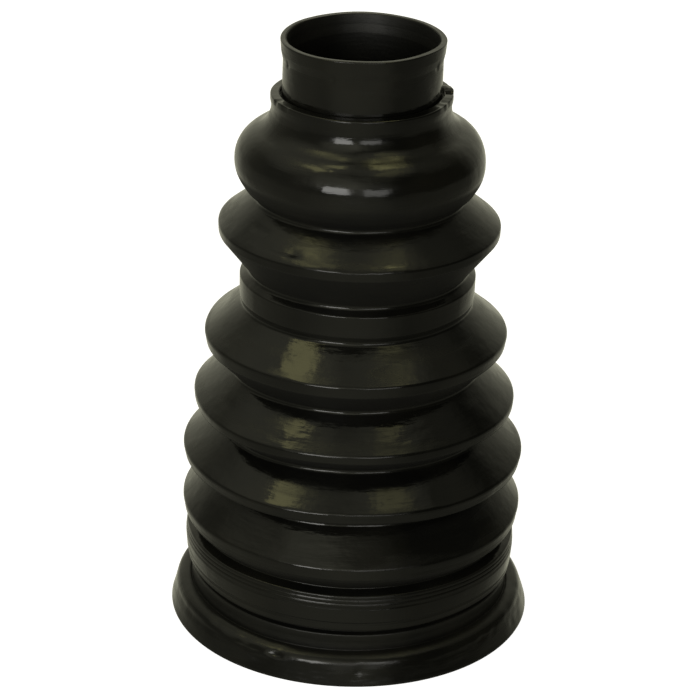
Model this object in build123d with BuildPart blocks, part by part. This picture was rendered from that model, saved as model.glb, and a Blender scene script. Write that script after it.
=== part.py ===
from build123d import *
import os
from math import radians, tan

# A moulded rubber bellows boot, one piece, open at both ends. It stands on its foot flange: the
# origin is the centre of the foot's underside, and +Z runs up the axis to the small end.
# All lengths are in millimetres. The outside is drawn from the floor up, zone on zone, so a
# change to one zone's height lifts everything above it.

# Wall
wall = 2.0  # thickness, square to the surface
crest_round = 0.9  # edges of a fold's crest
root_round = 1.2  # root between two folds
edge_round = 0.4  # edges of the band and the belt
cuff_root_round = 0.3  # root between the band and the lowest fold
most_of_run = 0.98  # share of a straight run that the rounds at its ends may take

# Cuff at the large end. Its outside follows the bore, so each wall is measured out from the bore.
cuff_bore_r = 49.0
foot_wall = 11.0  # foot flange, at its widest
foot_break = 0.5  # small chamfer where the rim meets the floor
foot_side_h = 9.5  # height of the flange's leaning side above it
foot_top_wall = 8.2  # where the leaning side ends
foot_top_round = 4.1  # full round between the side and the top
foot_groove_w = 0.4  # narrow V groove between the flange's top and the ring
foot_groove_d = 0.6
ring_wall = 3.8  # plain ring above the flange
ring_h = 6.2
slit_floor_wall = 1.9  # narrow slit that parts the ring from the band
slit_h = 1.6
band_foot_wall = 4.6  # band, a little barrelled
band_foot_h = 8.3
band_wall = 5.7
band_h = 4.7
band_top_wall = 5.3
band_slope_h = 1.4  # sloping top of the band, down to the first root
ridge_gap_d = 0.3  # fine V grooves that leave ridges round the band
ridge_gap_w = 0.6
foot_gap_at = (3.0,)  # their middles, above the foot of each of the band's two faces
band_gap_at = (0.7, 2.0, 3.4)
foot_r = cuff_bore_r + foot_wall
foot_top_r = cuff_bore_r + foot_top_wall
ring_r = cuff_bore_r + ring_wall
slit_floor_r = cuff_bore_r + slit_floor_wall
band_foot_r = cuff_bore_r + band_foot_wall
band_r = cuff_bore_r + band_wall
band_top_r = cuff_bore_r + band_top_wall

# Folds, lowest first
crest_r = (56.0, 55.9, 52.6, 49.4, 45.0)  # outside radius at the top of the crest's face
crest_h = (4.7, 3.6, 2.8, 3.8, 2.8)  # height of the crest's face
crest_lean = (1.2, 0.8, 0.3, 0.6, 0.1)  # how far the face's lower edge is set in
under_h = (3.8, 3.6, 6.0, 8.1, 12.5)  # rise of the underside, root to crest
cone_h = (12.1, 10.0, 10.5, 9.6, 9.3)  # rise of the sloping top
root_r = (46.0, 43.6, 40.8, 37.2, 33.0)  # outside radius of the root above the fold

# Belt that stands out on one of the roots
belt_fold_number = 4  # counted from the lowest; the belt is on the root above this fold
belt_step = 0.8  # how far it stands out from the root below it
belt_under_h = 2.4  # rise of the belt's underside
belt_under_round = 1.2
belt_h = 6.8
belt_slope_h = 2.3  # sloping top of the belt
belt_drop = 2.8  # from the belt in to the root above it
belt_r = root_r[belt_fold_number - 1] + belt_step
belt_top_root_r = belt_r - belt_drop

# Bulb above the folds, given by its corners and the rounds that turn them
bulb_under_h = 3.1  # rise of the underside, root to heel
bulb_heel_r = 36.5
bulb_heel_round = 4.8
bulb_heel_h = 5.1
bulb_r = 39.6
bulb_side_h = 10.6
bulb_round = 11.3
bulb_shoulder_h = 5.5
throat_r = 28.2
throat_round = 8.0
throat_h = 6.6
lip_step = 0.3  # the rim of the shelf above the throat stands out this far
lip_break = 0.4  # height of the step out to it
lip_h = 2.4
lip_r = throat_r + lip_step

# Collar at the small end
collar_gap_w = 0.5  # narrow groove round the collar's foot
collar_gap_d = 1.1
collar_r = 24.9
collar_h = 11.3
flare = 0.6  # the mouth is a little wider than the collar
flare_h = 2.7
mouth_flare = 0.4  # and widens again up to its rim
mouth_h = 3.9
flare_r = collar_r + flare
mouth_r = flare_r + mouth_flare


class Outline:
    """Corners of the boot's outside as (radius, height), each with a round."""

    def __init__(self):
        self.corners = []
        self.rounds = []
        self.followed = []
        self.height = 0.0

    def corner(self, radius, rise, rounding=0.0, inside=True):
        """Add a corner that lies higher than the last by rise. The wall's inside repeats it."""
        self.height += rise
        self.corners.append(Vector(radius, self.height))
        self.rounds.append(rounding)
        self.followed.append(inside)

    def detail(self, radius, rise, rounding=0.0):
        """Add a corner that only the outside has."""
        self.corner(radius, rise, rounding, inside=False)


def add_ridged_face(outline, end_r, rise, gaps_at, rounding=0.0):
    """Straight face up to end_r, with a fine V groove at each of the given heights above its foot."""
    start_r = outline.corners[-1].X
    climbed = 0.0
    for middle in gaps_at:
        for step, depth in ((-ridge_gap_w / 2, 0.0), (0.0, ridge_gap_d), (ridge_gap_w / 2, 0.0)):
            level = middle + step
            face_r = start_r + (end_r - start_r) * level / rise
            outline.detail(face_r - depth, level - climbed)
            climbed = level
    outline.detail(end_r, rise - climbed, rounding)


def add_cuff(outline):
    """Foot flange, plain ring, slit and band. Behind them the bore is straight."""
    outline.detail(foot_r - foot_break, 0)
    outline.detail(foot_r, foot_break)
    outline.detail(foot_top_r, foot_side_h, foot_top_round)
    outline.detail(ring_r + foot_groove_w, 0)
    outline.detail(ring_r, -foot_groove_d)
    outline.detail(ring_r, ring_h)
    outline.detail(slit_floor_r, 0)
    outline.detail(band_foot_r, slit_h, edge_round)
    add_ridged_face(outline, band_r, band_foot_h, foot_gap_at)
    add_ridged_face(outline, band_top_r, band_h, band_gap_at, edge_round)
    outline.corner(cuff_bore_r + wall, band_slope_h, cuff_root_round)


def add_belt(outline):
    """Proud belt with a sloping underside and top, and the root above it."""
    outline.detail(belt_r, belt_under_h, belt_under_round)
    outline.detail(belt_r, belt_h, edge_round)
    outline.corner(belt_top_root_r, belt_slope_h, root_round)


def add_fold(outline, fold):
    """One fold, from the root below it to the root above it."""
    outline.corner(crest_r[fold] - crest_lean[fold], under_h[fold], crest_round)
    outline.corner(crest_r[fold], crest_h[fold], crest_round)
    outline.corner(root_r[fold], cone_h[fold], root_round)


def add_bulb(outline):
    """Round bulb with a sloping underside, and the throat and its lip above."""
    outline.corner(bulb_heel_r, bulb_under_h, bulb_heel_round)
    outline.corner(bulb_r, bulb_heel_h, bulb_round)
    outline.corner(bulb_r, bulb_side_h, bulb_round)
    outline.corner(throat_r, bulb_shoulder_h, throat_round)
    outline.detail(throat_r, throat_h)
    outline.detail(lip_r, lip_break)
    outline.corner(lip_r, lip_h, edge_round)


def add_collar(outline):
    """Collar in the shelf's narrow groove, and its slightly wider mouth."""
    outline.detail(collar_r + collar_gap_w, 0)
    outline.detail(collar_r + collar_gap_w, -collar_gap_d)
    outline.detail(collar_r, 0)
    outline.corner(collar_r, collar_gap_d)
    outline.corner(collar_r, collar_h)
    outline.corner(flare_r, flare_h)
    outline.corner(mouth_r, mouth_h)


def inner_corner(before, here, after, rounding):
    """The same corner on the wall's other side, with the round that keeps the wall even."""
    run_in = (here - before).normalized()
    run_out = (after - here).normalized()
    mitre = Vector(-run_in.Y - run_out.Y, run_in.X + run_out.X)
    moved = here + mitre * (2 * wall / mitre.dot(mitre))
    if not rounding:
        return moved, 0.0
    turns_to_axis = run_in.cross(run_out).Z > 0
    return moved, max(rounding - wall, 0.0) if turns_to_axis else rounding + wall


def inner_side(outline):
    """Corners and rounds of the wall's inside, from the cuff's bore up to the mouth."""
    line = [Vector(cuff_bore_r + wall, 0)]
    rounds = [0.0]
    for here, rounding, followed in zip(outline.corners, outline.rounds, outline.followed):
        if followed:
            line.append(here)
            rounds.append(rounding)
    corners = [Vector(cuff_bore_r, 0)]
    inner_rounds = [0.0]
    for i in range(1, len(line) - 1):
        moved, rounding = inner_corner(line[i - 1], line[i], line[i + 1], rounds[i])
        corners.append(moved)
        inner_rounds.append(rounding)
    corners.append(Vector(mouth_r - wall, outline.height))
    inner_rounds.append(0.0)
    return corners, inner_rounds


def fitted_rounds(corners, rounds):
    """The rounds of a closed outline, made small enough where two would meet on one run."""
    reach = []
    for i, here in enumerate(corners):
        after = corners[(i + 1) % len(corners)]
        turn = (here - corners[i - 1]).get_angle(after - here)
        reach.append(tan(radians(turn / 2)))
    fitted = list(rounds)
    for i, here in enumerate(corners):
        room = most_of_run * (here - corners[i - 1]).length
        taken = rounds[i - 1] * reach[i - 1] + rounds[i] * reach[i]
        if taken > room:
            fitted[i - 1] = min(fitted[i - 1], rounds[i - 1] * room / taken)
            fitted[i] = min(fitted[i], rounds[i] * room / taken)
    return fitted


outside = Outline()
add_cuff(outside)
for fold in range(len(crest_r)):
    add_fold(outside, fold)
    if fold + 1 == belt_fold_number:
        add_belt(outside)
add_bulb(outside)
add_collar(outside)
inside_corners, inside_rounds = inner_side(outside)

section_corners = outside.corners + inside_corners[::-1]
section_rounds = fitted_rounds(section_corners, outside.rounds + inside_rounds[::-1])

with BuildPart() as bellows_boot:
    with BuildSketch(Plane.XZ):
        with BuildLine():
            FilletPolyline(*section_corners, radius=section_rounds, close=True)
        make_face()
    revolve(axis=Axis.Z)

bellows_boot.part.label = "bellows_boot"
os.makedirs("parts", exist_ok=True)
export_step(bellows_boot.part, "parts/bellows_boot.step")
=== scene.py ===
import math

import bpy
import numpy as np
from mathutils import Matrix, Vector


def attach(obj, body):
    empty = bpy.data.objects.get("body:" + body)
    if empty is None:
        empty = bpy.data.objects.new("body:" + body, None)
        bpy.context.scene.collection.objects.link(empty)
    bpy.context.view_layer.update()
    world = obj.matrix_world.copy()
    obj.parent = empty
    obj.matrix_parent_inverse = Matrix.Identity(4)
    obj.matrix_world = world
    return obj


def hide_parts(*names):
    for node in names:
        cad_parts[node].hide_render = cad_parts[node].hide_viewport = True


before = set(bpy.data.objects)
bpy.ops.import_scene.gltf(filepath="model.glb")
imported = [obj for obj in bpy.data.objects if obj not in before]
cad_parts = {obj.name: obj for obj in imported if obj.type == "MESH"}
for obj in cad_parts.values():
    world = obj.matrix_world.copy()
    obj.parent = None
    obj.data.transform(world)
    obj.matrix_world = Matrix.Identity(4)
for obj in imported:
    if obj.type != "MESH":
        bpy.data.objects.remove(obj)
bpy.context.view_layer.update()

MM = 0.001

# ---------------------------------------------------------------- camera
# The photograph's camera, solved from the rims and crests: the front is -Y.
IMAGE_SIDE_PX = 700
FOCAL_PX = 2648.9
SENSOR_MM = 36.0
CAMERA_BACK_MM = 786.8
CAMERA_UP_MM = 448.4
CAMERA_PITCH = math.radians(24.407)
CAMERA_YAW = math.radians(-0.120)
CAMERA_ROLL = math.radians(1.487)
CAMERA_CLIP_START = 0.01  # metres

# ---------------------------------------------------------------- light
# The dim room that the rubber mirrors, as radiance where white paper is 1.
ROOM_COLOUR = (1.0, 0.99, 0.76, 1)
ROOM_LEFT = 0.13
ROOM_RIGHT = 0.035
ROOM_BACK = 0.4
FLOOR_LEFT = 0.2
FLOOR_RIGHT = 0.13
# Where one level passes into the next, as parts of the direction looked in: X is to the right, Y to
# the back and Z up.
WALL_TURN_X = (-0.2, 0.6)
FLOOR_TURN_X = (-0.2, 0.8)
BACK_TURN_Y = (0.35, 1.0)
FLOOR_EDGE_Z = (-0.15, 0.0)
# Soft brighter areas: name, azimuth, elevation, half-width where it is full, half-width, radiance.
# Angles are in degrees. Azimuth 0 is the front, positive to the right.
GLOWS = [
    ("front_left_wall", -24, 33, 6, 31, 0.42),
    ("front_wall", 8, 26, 6, 32, 0.17),
    ("left_ceiling", -95, 58, 8, 38, 0.26),
    ("right_ceiling", 52, 70, 6, 24, 0.2),
    ("right_wall", 104, 54, 6, 24, 0.1),
    ("ceiling", -60, 86, 4, 40, 0.08),
    ("front_floor", -4, -27, 12, 50, 0.1),
]
WHITE_LIGHT = (1.0, 0.99, 0.95)
WARM_LIGHT = (1.0, 0.94, 0.4)
# Windows and lamps: name, azimuth and elevation in degrees, distance, width and height in metres,
# radiance and colour.
LAMPS = [
    ("left_window", -23, 15, 1.5, 0.58, 0.46, 4.3, WHITE_LIGHT),
    ("right_window", 15, 15, 1.5, 0.62, 0.46, 1.7, WHITE_LIGHT),
    ("left_ceiling_lamp", -79, 64, 1.6, 0.46, 0.32, 1.5, WARM_LIGHT),
    ("right_ceiling_lamp", 52, 67, 1.6, 0.46, 0.28, 0.6, WARM_LIGHT),
    ("far_left_ceiling_lamp", -102, 77, 1.6, 0.3, 0.26, 1.2, WARM_LIGHT),
    ("far_right_ceiling_lamp", 116, 77, 1.6, 0.38, 0.34, 2.2, WARM_LIGHT),
]
LAMP_AIM_HEIGHT = 0.1  # metres, on the boot's axis

# ---------------------------------------------------------------- stage
FLOOR_SIDE = 12  # metres
FLOOR_COLOUR = (0.8, 0.8, 0.8, 1)
FLOOR_GLOW = 0.95
WHITE = (1, 1, 1, 1)

# ---------------------------------------------------------------- form, in mm
WALL = 2.0
AROUND = 256  # quads around the axis
LINE_STEP = 5.5  # longest quad along a straight run of the outside
LINE_END = 0.35  # short quad at each end of such a run, which keeps the run's shading flat
ARC_LENGTH = 1.5  # longest quad along a round of the outside
FINE_BELOW = 10.5  # the foot has creases, so its quads are shorter up to this height
FINE_STEP = 0.85
ARC_STEP = math.radians(30)  # most that one quad turns along a round
TINY_ROUND = 0.22  # a round this small is one quad
SHORTEST_CUT = 0.02  # a round that cuts less than this off its runs is left as a corner
MOST_OF_RUN = 0.96  # share of a straight run that the rounds at its ends may take
DIVIDED_FROM = 5  # a straight run is divided where it is longer than this many LINE_END

# Outline corners from the floor up: radius, height, round. The last value says whether the wall's
# inside follows the corner.
FOOT = [
    (59.5, 0.0, 0.3, False),
    (60.0, 0.6, 0.6, False),
    (57.2, 10.0, 4.1, False),
    (53.3, 10.0, 0.3, False),
    (52.8, 9.4, 0.1, False),
]
RING = [
    (52.6, 12.4, 6.0, False),
    (52.9, 15.5, 0.5, False),
    (51.0, 15.8, 0.2, False),
    (50.9, 16.8, 0.2, False),
]
BAND = [
    (53.6, 17.3, 0.7, False),
    (54.1, 19.6, 0.5, False),
    (53.9, 20.3, 0.15, False),
    (54.3, 20.9, 0.3, False),
    (54.7, 25.5, 0.5, False),
    (54.4, 26.3, 0.1, False),
    (54.7, 26.6, 0.25, False),
    (54.6, 27.3, 0.2, False),
    (54.3, 27.6, 0.1, False),
    (54.6, 27.9, 0.25, False),
    (54.5, 28.7, 0.2, False),
    (54.2, 29.0, 0.1, False),
    (54.5, 29.3, 0.25, False),
    (54.3, 30.2, 0.5, False),
    (51.0, 31.6, 0.3, True),
]
FOLDS = [
    # lowest fold
    (54.8, 35.4, 0.9, True),
    (55.4, 36.6, 0.5, False),
    (55.5, 37.8, 0.5, False),
    (56.0, 40.1, 1.3, True),
    (46.0, 52.2, 1.2, True),
    # second
    (55.1, 55.8, 0.9, True),
    (55.9, 59.4, 1.3, True),
    (43.6, 69.4, 1.2, True),
    # third
    (52.3, 75.4, 0.9, True),
    (52.6, 78.2, 1.1, True),
    (40.8, 88.7, 1.2, True),
    # fourth
    (48.8, 96.8, 1.0, True),
    (49.4, 100.6, 1.3, True),
    (37.2, 110.2, 1.2, True),
]
BELT = [
    (38.0, 112.6, 1.2, False),
    (38.0, 119.4, 0.5, False),
    (35.2, 121.7, 1.2, True),
]
TOP_FOLD = [
    (44.9, 134.2, 0.9, True),
    (45.0, 137.0, 0.9, True),
    (43.45, 138.2, 0.0, False),
    (42.68, 138.8, 0.0, False),
    (41.9, 139.4, 0.0, False),
    (40.1, 140.8, 0.0, False),
    (38.6, 141.96, 0.0, False),
    (37.1, 143.12, 0.0, False),
    (33.0, 146.3, 1.2, True),
]
BULB = [
    (36.5, 149.4, 4.8, True),
    (39.6, 154.5, 11.3, True),
    (39.6, 165.1, 11.3, True),
    (28.2, 170.6, 8.0, True),
]
LIP = [
    (28.1, 176.0, 3.0, False),
    (28.5, 178.2, 1.0, False),
    (28.5, 180.0, 0.45, True),
    (25.5, 180.1, 0.2, False),
    (25.4, 178.9, 0.1, False),
    (24.9, 178.9, 0.1, False),
]
COLLAR = [
    (24.9, 180.0, 0.0, True),
    (24.9, 190.2, 0.0, False),
    (24.9, 191.3, 0.6, True),
    (25.15, 192.4, 0.0, False),
    (25.5, 194.0, 0.8, True),
    (25.9, 197.9, 0.35, True),
]
CUFF_BORE_R = 49.0
BORE_FOOT_ROUND = 0.6
RIM_ROUND = 0.5
LEAST_INSIDE_ROUND = 0.5

# Slow unevenness of the moulded wall: waves around the axis, and how far the folds sway.
SEED = 11
WAVE_COUNT = 7
SWAY = 0.22  # mm, outwards and upwards
LIFTING_WAVES = 3  # only the slowest waves, this many, move the folds up and down
MOST_DRIFT = 0.03  # radians that a wave shifts per mm of height, times its number
CALM_BELOW = 3.0  # the foot stays flat and round up to this height
CALM_TO = 14.0  # and from this height on the sway is full
MARK_END = 0.25  # share of its half-width over which a mark fades out at each end
RAGGED_WAVES = (9, 17, 31, 53)  # waves around the axis that make a mark ragged
# Marks of the mould and of handling on the outside: name, azimuth from and to in degrees, height and
# least radius, half-height, depth (negative stands out) and how ragged it is, from 0 to 1.
MARKS = [
    ("lowest_flash", -60, 75, 40.0, 54, 0.5, -0.12, 1.0),
    ("second_flash", -40, 50, 59.2, 54, 0.5, -0.15, 1.0),
    ("fourth_flash", -30, 30, 100.4, 48, 0.5, -0.12, 1.0),
    ("top_flash_left", -54, -20, 138.5, 40, 0.5, -0.45, 0.7),
    ("top_flash_groove", -50, -24, 139.5, 40, 0.5, 0.35, 0.6),
    ("top_flash_front", -24, 26, 137.5, 42, 0.5, -0.4, 0.9),
    ("top_crease", -60, -46, 142.0, 36, 0.8, 0.35, 0.3),
    ("foot_flat_left", -54, -18, 9.1, 55, 1.6, 0.65, 0.5),
    ("foot_crease", -40, -21, 7.5, 55, 0.5, 1.0, 0.8),
    ("foot_pit_left", -32, -24, 5.2, 55, 0.8, 0.35, 0.8),
    ("foot_ridge_front", -18, 4, 7.6, 55, 0.6, -0.15, 0.8),
    ("foot_nick", 3.4, 5.6, 5.6, 55, 1.6, 0.5, 0.0),
    ("foot_scuff_low", 66, 76, 4.2, 55, 1.6, 0.35, 1.0),
    ("foot_scuff_right", 47, 57, 6.8, 55, 1.0, 0.35, 1.0),
    ("foot_ripple_right", 60, 92, 8.9, 55, 0.9, -0.25, 0.8),
    ("foot_fold_right", 62, 95, 7.0, 55, 0.9, 0.3, 0.8),
    ("foot_fold_left", -85, -42, 6.4, 55, 0.9, 0.35, 0.6),
    ("mouth_notch_left", -70, -65, 191.5, 24, 0.6, 0.3, 0.3),
    ("mouth_notch_right", 66, 71, 191.3, 24, 0.6, 0.3, 0.3),
    ("mouth_pit", -22, -20, 191.3, 24, 0.5, 0.2, 0.0),
    ("lip_notch_left", -71, -67, 179.8, 26.5, 0.8, 0.35, 0.3),
    ("lip_notch_front", -60, -52, 179.6, 27.5, 0.6, 0.25, 0.8),
    ("lip_tear_right", 60, 84, 179.8, 26, 0.9, 0.35, 1.0),
    ("lip_hole_right", 89, 95, 180.0, 26, 1.0, 0.9, 0.0),
    ("lip_flash_right", 97, 106, 180.0, 26, 0.8, -0.4, 0.6),
]

# ---------------------------------------------------------------- rubber
RUBBER_DARK = (0.004, 0.004, 0.0034, 1)
RUBBER_DUSTY = (0.011, 0.0105, 0.008, 1)
ROUGHNESS_LOW = 0.09
ROUGHNESS_HIGH = 0.2
UNDERSIDE_ROUGHNESS = 0.65
INSIDE_ROUGHNESS = 0.5
SMEAR_ROUGHNESS = 0.16  # added in streaks round the boot
# Duller bands of the outside: from height and to height in metres, and roughness.
DULL_BANDS = [(-0.01, 0.0092, 0.16), (0.0092, 0.0162, 0.42), (0.136, 0.147, 0.21)]
BAND_EDGE = 0.001  # metres, over which a band starts and ends
# Noise: waves per metre, detail, and stretch of the space along X, Y and Z.
EVEN = (1, 1, 1)
CLOUDS = (60, 3, EVEN)
SMEARS = (240, 3, (0.14, 0.14, 1))
DUST = (35, 4, EVEN)
# Values of that noise between which it goes from none to full.
CLOUD_SPREAD = (0.35, 0.7)
SMEAR_SPREAD = (0.5, 0.66)
DUST_SPREAD = (0.45, 0.75)
# Bumps, large to small: name, waves per metre, detail, stretch and depth in mm.
BUMPS = [
    ("waves", 45, 1, EVEN, 0.45),
    ("dents", 170, 2, EVEN, 0.14),
    ("rings", 560, 4, (0.12, 0.12, 1), 0.1),
    ("grain", 2500, 2, EVEN, 0.004),
]
UNDERSIDE_TURN_Z = (-0.35, -0.1)  # the normal's Z: fully an underside, and not at all
# Distance from the axis times the normal's part away from it, in metres: fully inside, and not at all.
INSIDE_TURN = (-0.004, 0.0)
# Places of the colour sockets on Blender's Mix node, which has several with the same name.
MIX_COLOUR_A = 6
MIX_COLOUR_B = 7
MIX_COLOUR_RESULT = 2


def unit(vector):
    return vector / np.linalg.norm(vector)


def inside_of(corners):
    """The corners of the wall's inside, from the bore's foot up to the mouth."""
    line = [(CUFF_BORE_R + WALL, 0.0, 0.0)] + [c[:3] for c in corners if c[3]]
    inner = [(CUFF_BORE_R, 0.0, BORE_FOOT_ROUND)]
    for (r0, z0, _), (r1, z1, rounding), (r2, z2, _) in zip(line, line[1:], line[2:]):
        run_in = np.array((r1 - r0, z1 - z0)) / math.hypot(r1 - r0, z1 - z0)
        run_out = np.array((r2 - r1, z2 - z1)) / math.hypot(r2 - r1, z2 - z1)
        side = np.array((-run_in[1] - run_out[1], run_in[0] + run_out[0]))
        r, z = np.array((r1, z1)) + side * 2 * WALL / side.dot(side)
        turns_to_axis = run_in[0] * run_out[1] - run_in[1] * run_out[0] > 0
        inner_round = max(rounding - WALL, LEAST_INSIDE_ROUND) if turns_to_axis else rounding + WALL
        inner.append((r, z, inner_round))
    top_r, top_z, _ = line[-1]
    inner.append((top_r - WALL, top_z, RIM_ROUND))
    return inner


def fitted_rounds(at, rounds):
    """For each corner, how far its round cuts into its two runs and the share of it that fits."""
    count = len(at)
    reach = []
    for i in range(count):
        a = at[i] - at[i - 1]
        b = at[(i + 1) % count] - at[i]
        turn = math.acos(np.clip(a.dot(b) / np.linalg.norm(a) / np.linalg.norm(b), -1, 1))
        reach.append(math.tan(turn / 2) * rounds[i])
    share = [1.0] * count
    for i in range(count):
        room = MOST_OF_RUN * np.linalg.norm(at[i] - at[i - 1])
        taken = reach[i] + reach[i - 1]
        if taken > room:
            share[i] = min(share[i], room / taken)
            share[i - 1] = min(share[i - 1], room / taken)
    return reach, share


def round_points(corner, before, after, cut, radius, longest):
    """Points of one corner's round, or the corner alone where the round is next to nothing."""
    if cut < SHORTEST_CUT:
        return [corner]
    a = unit(before - corner)
    b = unit(after - corner)
    centre = corner + unit(a + b) * math.hypot(cut, radius)
    start = math.atan2(*(corner + a * cut - centre)[::-1])
    end = math.atan2(*(corner + b * cut - centre)[::-1])
    sweep = (end - start + math.pi) % (2 * math.pi) - math.pi
    steps = max(2, math.ceil(abs(sweep) / ARC_STEP)) if radius > TINY_ROUND else 1
    steps = max(steps, math.ceil(abs(sweep) * radius / longest))
    arc = []
    for k in range(steps + 1):
        angle = start + sweep * k / steps
        arc.append(centre + radius * np.array((math.cos(angle), math.sin(angle))))
    return arc


def run_points(start, end, longest):
    """Points that divide a straight run: a short quad at each end and even ones between."""
    gap = end - start
    length = np.linalg.norm(gap)
    if length <= DIVIDED_FROM * LINE_END:
        return []
    between = length - 2 * LINE_END
    parts = math.ceil(between / longest)
    return [start + gap * ((LINE_END + between * k / parts) / length) for k in range(parts + 1)]


def smooth_loop(corners, outside_count):
    """Points of a closed outline with its corners rounded. Long runs of the outside are divided."""
    at = [np.array(c[:2], float) for c in corners]
    rounds = [c[2] for c in corners]
    reach, share = fitted_rounds(at, rounds)
    points = []
    for i, corner in enumerate(at):
        on_outside = i < outside_count
        fine = corner[1] < FINE_BELOW
        longest = (FINE_STEP if fine else ARC_LENGTH) if on_outside else math.inf
        after = at[(i + 1) % len(at)]
        arc = round_points(corner, at[i - 1], after, reach[i] * share[i], rounds[i] * share[i], longest)
        if points and on_outside:
            points += run_points(points[-1], arc[0], FINE_STEP if fine else LINE_STEP)
        points += arc
        if i == outside_count - 1:
            outside_points = len(points)
    return np.array(points), outside_points


def ragged(turns, rng):
    """Uneven profile from 0 to 1 around the axis, made of a few seeded waves."""
    line = np.zeros_like(turns)
    for wave in RAGGED_WAVES:
        line += np.sin(wave * turns + rng.uniform(0, 2 * np.pi)) / math.sqrt(len(RAGGED_WAVES))
    return np.clip(0.5 + 0.5 * line, 0, 1)


def uneven(loop, outside_points, turns):
    """Radius and height of each vertex: the outline, its slow sway and the marks on the outside."""
    rng = np.random.default_rng(SEED)
    radius = np.repeat(loop[:, :1], len(turns), axis=1)
    height = np.repeat(loop[:, 1:], len(turns), axis=1)
    free = np.clip((loop[:, 1:] - CALM_BELOW) / (CALM_TO - CALM_BELOW), 0, 1)
    for wave in range(1, WAVE_COUNT + 1):
        drift = rng.uniform(-MOST_DRIFT, MOST_DRIFT) * wave
        phase = rng.uniform(0, 2 * np.pi, 2)
        swing = SWAY / math.sqrt(wave)
        turn = wave * turns + drift * loop[:, 1:]
        radius += free * swing * np.sin(turn + phase[0])
        if wave <= LIFTING_WAVES:
            height += free * swing * np.sin(turn + phase[1])
    along = np.roll(loop, -1, axis=0) - np.roll(loop, 1, axis=0)
    along /= np.linalg.norm(along, axis=1)[:, None]
    for _, start, end, level, least_radius, half_height, depth, raggedness in MARKS:
        middle = math.radians((start + end) / 2)
        half = math.radians((end - start) / 2)
        off = np.abs((turns - middle + np.pi) % (2 * np.pi) - np.pi) / half
        across = np.clip((1 - off) / MARK_END, 0, 1) * (1 - raggedness * ragged(turns, rng))
        up = np.exp(-((loop[:, 1] - level) / half_height) ** 2)
        up[outside_points:] = 0
        up[loop[:, 0] < least_radius] = 0
        push = depth * up[:, None] * across
        radius -= push * along[:, 1:]
        height += push * along[:, :1]
    widest, top = loop.max(axis=0)
    return np.minimum(radius, widest), np.clip(height, 0, top)


def revolve(name, loop, outside_points):
    """Closed mesh of an outline turned about Z, with the moulded wall's unevenness."""
    turns = np.linspace(0, 2 * np.pi, AROUND, endpoint=False)
    r, z = uneven(loop, outside_points, turns)
    vertices = np.stack([r * np.sin(turns), -r * np.cos(turns), z], axis=-1).reshape(-1, 3) * MM
    count = len(loop)
    i, j = np.meshgrid(np.arange(count), np.arange(AROUND), indexing="ij")
    i2, j2 = (i + 1) % count, (j + 1) % AROUND
    faces = np.stack([i * AROUND + j, i * AROUND + j2, i2 * AROUND + j2, i2 * AROUND + j], axis=-1)
    mesh = bpy.data.meshes.new(name)
    mesh.from_pydata(vertices.tolist(), [], faces.reshape(-1, 4).tolist())
    mesh.validate()
    mesh.polygons.foreach_set("use_smooth", [True] * len(mesh.polygons))
    mesh.update()
    piece = bpy.data.objects.new(name, mesh)
    bpy.context.scene.collection.objects.link(piece)
    return piece


class NodeGraph:
    """The nodes of a material or of the world, with short calls for the kinds used most."""

    def __init__(self, tree):
        self.nodes = tree.nodes
        self.links = tree.links

    def feed(self, value, socket):
        """Link an output to the socket, or set a plain number on it."""
        if isinstance(value, (int, float)):
            socket.default_value = value
        else:
            self.links.new(value, socket)

    def math(self, operation, a, b):
        node = self.nodes.new("ShaderNodeMath")
        node.operation = operation
        self.feed(a, node.inputs[0])
        self.feed(b, node.inputs[1])
        return node.outputs[0]

    def ramp(self, value, low, high, at_low, at_high, interpolation="LINEAR"):
        """The value's range low to high turned into at_low to at_high, and held beyond it."""
        node = self.nodes.new("ShaderNodeMapRange")
        node.interpolation_type = interpolation
        node.inputs["From Min"].default_value = low
        node.inputs["From Max"].default_value = high
        node.inputs["To Min"].default_value = at_low
        node.inputs["To Max"].default_value = at_high
        self.links.new(value, node.inputs["Value"])
        return node.outputs[0]

    def split(self, vector):
        """The vector's X, Y and Z."""
        node = self.nodes.new("ShaderNodeSeparateXYZ")
        self.links.new(vector, node.inputs[0])
        return node.outputs

    def noise(self, place, scale, detail, stretch):
        """Noise from 0 to 1 in the given space; scale is in waves per metre."""
        mapping = self.nodes.new("ShaderNodeMapping")
        mapping.inputs["Scale"].default_value = stretch
        self.links.new(place, mapping.inputs["Vector"])
        texture = self.nodes.new("ShaderNodeTexNoise")
        texture.inputs["Scale"].default_value = scale
        texture.inputs["Detail"].default_value = detail
        self.links.new(mapping.outputs[0], texture.inputs["Vector"])
        return texture.outputs["Fac"]

    def bump(self, height, distance, below):
        """Normal of the bumps, on top of the normal below where there is one."""
        node = self.nodes.new("ShaderNodeBump")
        node.inputs["Distance"].default_value = distance
        self.links.new(height, node.inputs["Height"])
        if below:
            self.links.new(below, node.inputs["Normal"])
        return node.outputs[0]


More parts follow.
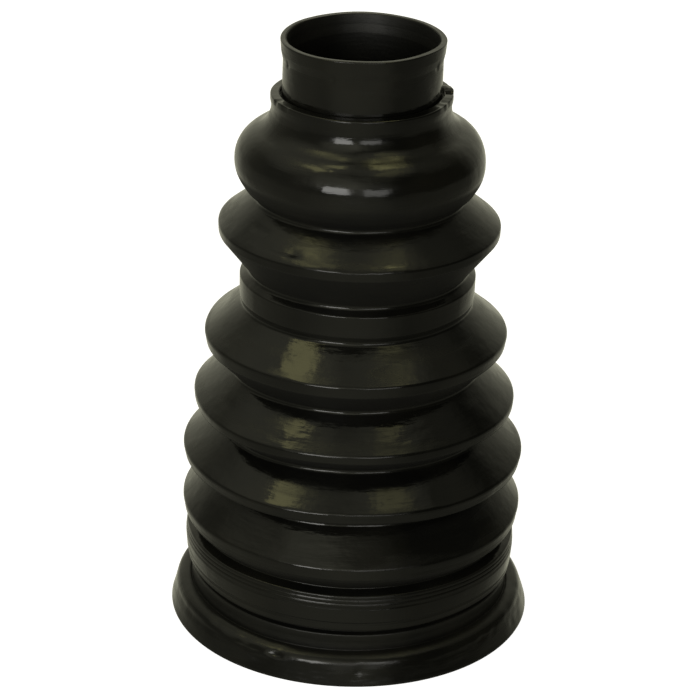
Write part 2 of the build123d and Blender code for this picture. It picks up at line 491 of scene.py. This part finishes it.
def rubber_material():
    """Black moulded rubber: glossy faces, matt undersides, cloudy patches and fine ripples."""
    material = bpy.data.materials.new("black_rubber")
    material.use_nodes = True
    graph = NodeGraph(material.node_tree)
    shader = graph.nodes["Principled BSDF"]
    place = graph.nodes.new("ShaderNodeTexCoord").outputs["Object"]
    normal = graph.nodes.new("ShaderNodeNewGeometry").outputs["Normal"]
    place_x, place_y, place_z = graph.split(place)
    normal_x, normal_y, normal_z = graph.split(normal)

    gloss = graph.ramp(graph.noise(place, *CLOUDS), *CLOUD_SPREAD, ROUGHNESS_LOW, ROUGHNESS_HIGH)
    smear = graph.ramp(graph.noise(place, *SMEARS), *SMEAR_SPREAD, 0.0, SMEAR_ROUGHNESS)
    underside = graph.ramp(normal_z, *UNDERSIDE_TURN_Z, UNDERSIDE_ROUGHNESS, 0.0)
    outward_x = graph.math("MULTIPLY", place_x, normal_x)
    outward_y = graph.math("MULTIPLY", place_y, normal_y)
    inside = graph.ramp(graph.math("ADD", outward_x, outward_y), *INSIDE_TURN, INSIDE_ROUGHNESS, 0.0)
    rough = graph.math("MAXIMUM", graph.math("ADD", gloss, smear), underside)
    rough = graph.math("MAXIMUM", rough, inside)
    for start, end, dull in DULL_BANDS:
        above = graph.ramp(place_z, start - BAND_EDGE, start, 0.0, 1.0)
        below = graph.ramp(place_z, end, end + BAND_EDGE, dull, 0.0)
        rough = graph.math("MAXIMUM", rough, graph.math("MULTIPLY", above, below))
    graph.links.new(rough, shader.inputs["Roughness"])

    tint = graph.nodes.new("ShaderNodeMix")
    tint.data_type = "RGBA"
    tint.inputs[MIX_COLOUR_A].default_value = RUBBER_DARK
    tint.inputs[MIX_COLOUR_B].default_value = RUBBER_DUSTY
    dust = graph.ramp(graph.noise(place, *DUST), *DUST_SPREAD, 0.0, 1.0)
    graph.links.new(dust, tint.inputs["Factor"])
    graph.links.new(tint.outputs[MIX_COLOUR_RESULT], shader.inputs["Base Color"])

    relief = None
    for _, scale, detail, stretch, depth in BUMPS:
        relief = graph.bump(graph.noise(place, scale, detail, stretch), depth * MM, relief)
    graph.links.new(relief, shader.inputs["Normal"])
    return material


def add_camera():
    """The photograph's camera: in front of the boot, pitched down and rolled a little."""
    data = bpy.data.cameras.new("camera")
    data.sensor_width = SENSOR_MM
    data.lens = FOCAL_PX * SENSOR_MM / IMAGE_SIDE_PX
    data.clip_start = CAMERA_CLIP_START
    camera = bpy.data.objects.new("camera", data)
    bpy.context.scene.collection.objects.link(camera)
    cos_pitch = math.cos(CAMERA_PITCH)
    forward = Vector((math.sin(CAMERA_YAW) * cos_pitch, math.cos(CAMERA_YAW) * cos_pitch,
                      -math.sin(CAMERA_PITCH)))
    right = Vector((math.cos(CAMERA_YAW), -math.sin(CAMERA_YAW), 0))
    up = right.cross(forward)
    rolled_right = math.cos(CAMERA_ROLL) * right + math.sin(CAMERA_ROLL) * up
    rolled_up = -math.sin(CAMERA_ROLL) * right + math.cos(CAMERA_ROLL) * up
    turn = Matrix((rolled_right, rolled_up, -forward)).transposed().to_4x4()
    camera.matrix_world = Matrix.Translation((0, -CAMERA_BACK_MM * MM, CAMERA_UP_MM * MM)) @ turn
    bpy.context.scene.camera = camera


def direction(azimuth, elevation):
    """Unit vector towards a place round the boot. Azimuth 0 is the front, positive to the right."""
    az, el = math.radians(azimuth), math.radians(elevation)
    return Vector((math.sin(az) * math.cos(el), -math.cos(az) * math.cos(el), math.sin(el)))


def add_area(name, azimuth, elevation, distance, width, height, radiance, colour):
    """Rectangular light aimed at the boot, with the given radiance all over it."""
    data = bpy.data.lights.new(name, "AREA")
    data.shape = "RECTANGLE"
    data.size = width
    data.size_y = height
    data.energy = radiance * math.pi * width * height
    data.color = colour
    light = bpy.data.objects.new(name, data)
    bpy.context.scene.collection.objects.link(light)
    away = direction(azimuth, elevation)
    light.location = Vector((0, 0, LAMP_AIM_HEIGHT)) + away * distance
    light.rotation_euler = (-away).to_track_quat("-Z", "Y").to_euler()


def add_stage():
    """White floor. Diffuse and mirror rays miss it, so the rubber's underside and shine stay dim."""
    bpy.ops.mesh.primitive_plane_add(size=FLOOR_SIDE, location=(0, 0, 0))
    floor = bpy.context.object
    floor.name = "floor"
    material = bpy.data.materials.new("pale_floor")
    material.use_nodes = True
    shader = material.node_tree.nodes["Principled BSDF"]
    shader.inputs["Base Color"].default_value = FLOOR_COLOUR
    shader.inputs["Roughness"].default_value = 1.0
    shader.inputs["Emission Color"].default_value = WHITE
    shader.inputs["Emission Strength"].default_value = FLOOR_GLOW
    floor.data.materials.append(material)
    floor.visible_diffuse = False
    floor.visible_glossy = False


def add_world():
    """White to the camera. The rubber sees a dim room with a few soft brighter areas."""
    world = bpy.data.worlds.new("studio")
    bpy.context.scene.world = world
    world.use_nodes = True
    graph = NodeGraph(world.node_tree)
    nodes = graph.nodes
    links = graph.links
    where = nodes.new("ShaderNodeTexCoord").outputs["Generated"]
    to_right, to_back, to_top = graph.split(where)

    floor_level = graph.ramp(to_right, *FLOOR_TURN_X, FLOOR_LEFT, FLOOR_RIGHT, "SMOOTHSTEP")
    wall_level = graph.ramp(to_right, *WALL_TURN_X, ROOM_LEFT, ROOM_RIGHT, "SMOOTHSTEP")
    below = graph.ramp(to_top, *FLOOR_EDGE_Z, 1.0, 0.0, "SMOOTHSTEP")
    above = graph.math("SUBTRACT", 1.0, below)
    floor_part = graph.math("MULTIPLY", floor_level, below)
    wall_part = graph.math("MULTIPLY", wall_level, above)
    level = graph.math("ADD", floor_part, wall_part)
    back_part = graph.ramp(to_back, *BACK_TURN_Y, 0.0, ROOM_BACK, "SMOOTHSTEP")
    level = graph.math("ADD", level, back_part)
    for _, azimuth, elevation, full, half_width, radiance in GLOWS:
        towards = nodes.new("ShaderNodeVectorMath")
        towards.operation = "DOT_PRODUCT"
        links.new(where, towards.inputs[0])
        towards.inputs[1].default_value = direction(azimuth, elevation)
        edge, core = math.cos(math.radians(half_width)), math.cos(math.radians(full))
        glow = graph.ramp(towards.outputs["Value"], edge, core, 0.0, radiance, "SMOOTHSTEP")
        level = graph.math("ADD", level, glow)

    room = nodes["Background"]
    room.inputs["Color"].default_value = ROOM_COLOUR
    links.new(level, room.inputs["Strength"])
    white = nodes.new("ShaderNodeBackground")
    white.inputs["Color"].default_value = WHITE
    white.inputs["Strength"].default_value = 1.0
    seen = nodes.new("ShaderNodeLightPath")
    mix = nodes.new("ShaderNodeMixShader")
    links.new(seen.outputs["Is Camera Ray"], mix.inputs[0])
    links.new(room.outputs[0], mix.inputs[1])
    links.new(white.outputs[0], mix.inputs[2])
    links.new(mix.outputs[0], nodes["World Output"].inputs["Surface"])


outside = FOOT + RING + BAND + FOLDS + BELT + TOP_FOLD + BULB + LIP + COLLAR
loop, outside_points = smooth_loop([c[:3] for c in outside] + inside_of(outside)[::-1], len(outside))
boot = revolve("boot", loop, outside_points)
boot.data.materials.append(rubber_material())
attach(boot, "root")
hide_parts("bellows_boot")

add_camera()
add_stage()
add_world()
for lamp in LAMPS:
    add_area(*lamp)
bpy.context.scene.view_settings.view_transform = "Standard"
